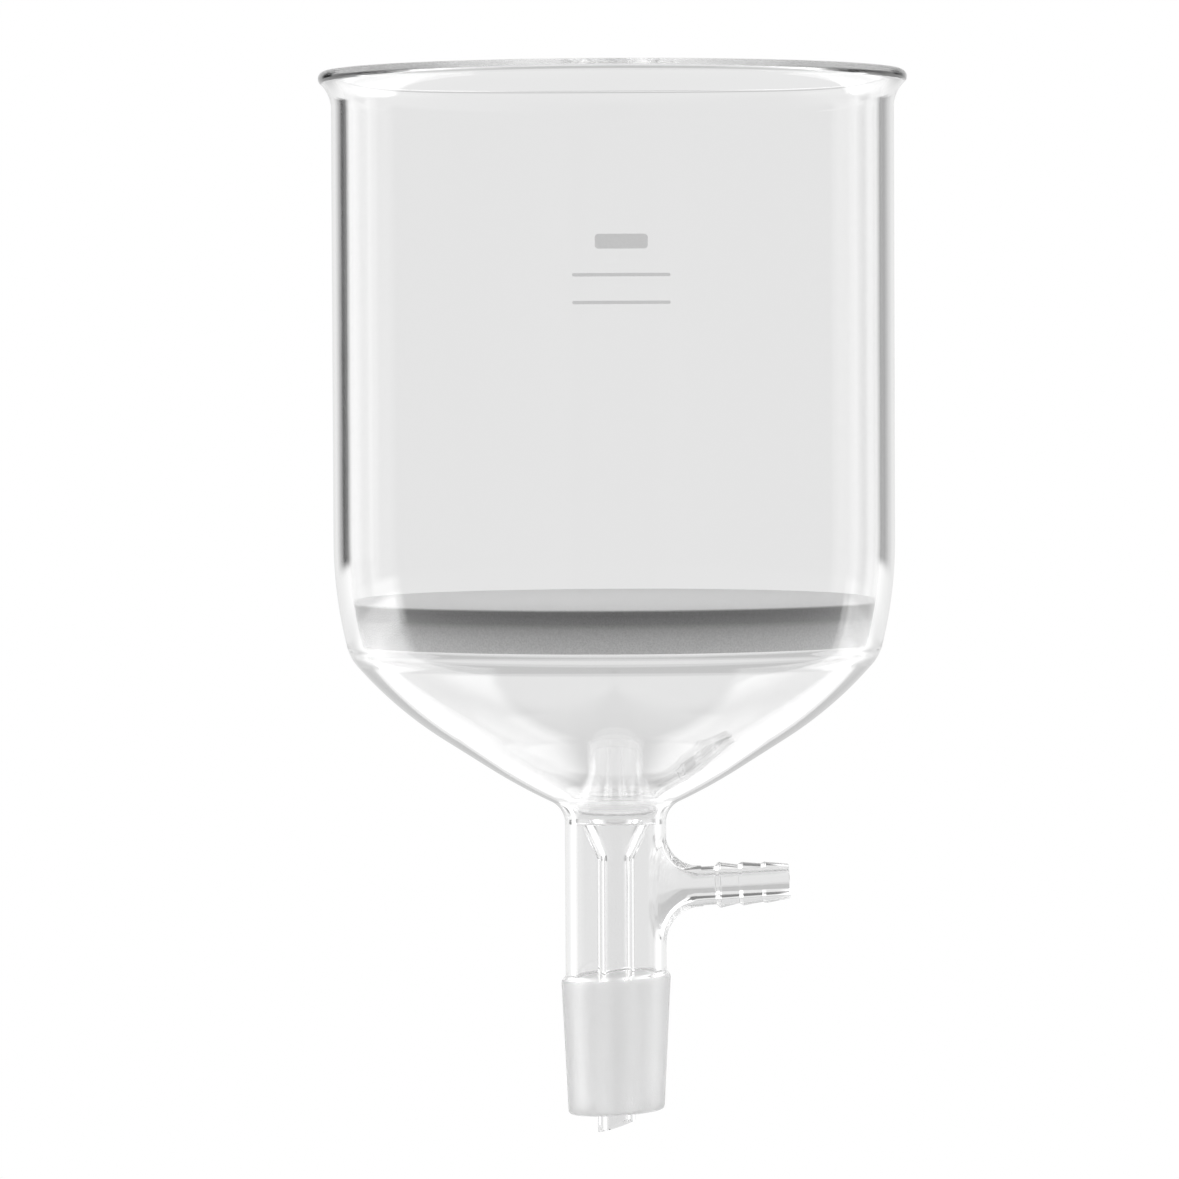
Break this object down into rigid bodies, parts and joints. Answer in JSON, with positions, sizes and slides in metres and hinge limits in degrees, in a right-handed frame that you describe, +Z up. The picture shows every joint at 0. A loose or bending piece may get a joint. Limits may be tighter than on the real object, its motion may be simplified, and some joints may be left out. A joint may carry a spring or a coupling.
{
  "type": "fritted filter funnel",
  "caption": "Glass filter funnel with a sintered disc, conical bottom, vacuum side arm with a hose barb, inner drip tube and male ground joint.",
  "frame": {"origin": "on the funnel's axis, in the plane of the ground joint's wide end", "axes": "+Z up along the funnel's axis, towards the rim; +X to the side of the hose barb"},
  "size_m": [0.1286, 0.1286, 0.2328],
  "materials": {
    "borosilicate_glass": "clear, fire polished",
    "ground_glass": "ground, matt",
    "sintered_glass": "matt, fine porous"
  },
  "bodies": {
    "root": {"cup_cylinder": "borosilicate_glass", "sintered_disc": "sintered_glass", "lower_cone": "borosilicate_glass", "stem_jacket": "borosilicate_glass", "drip_tube": "borosilicate_glass", "hose_barb": "borosilicate_glass", "ground_joint": "ground_glass"}
  },
  "joints": []
}
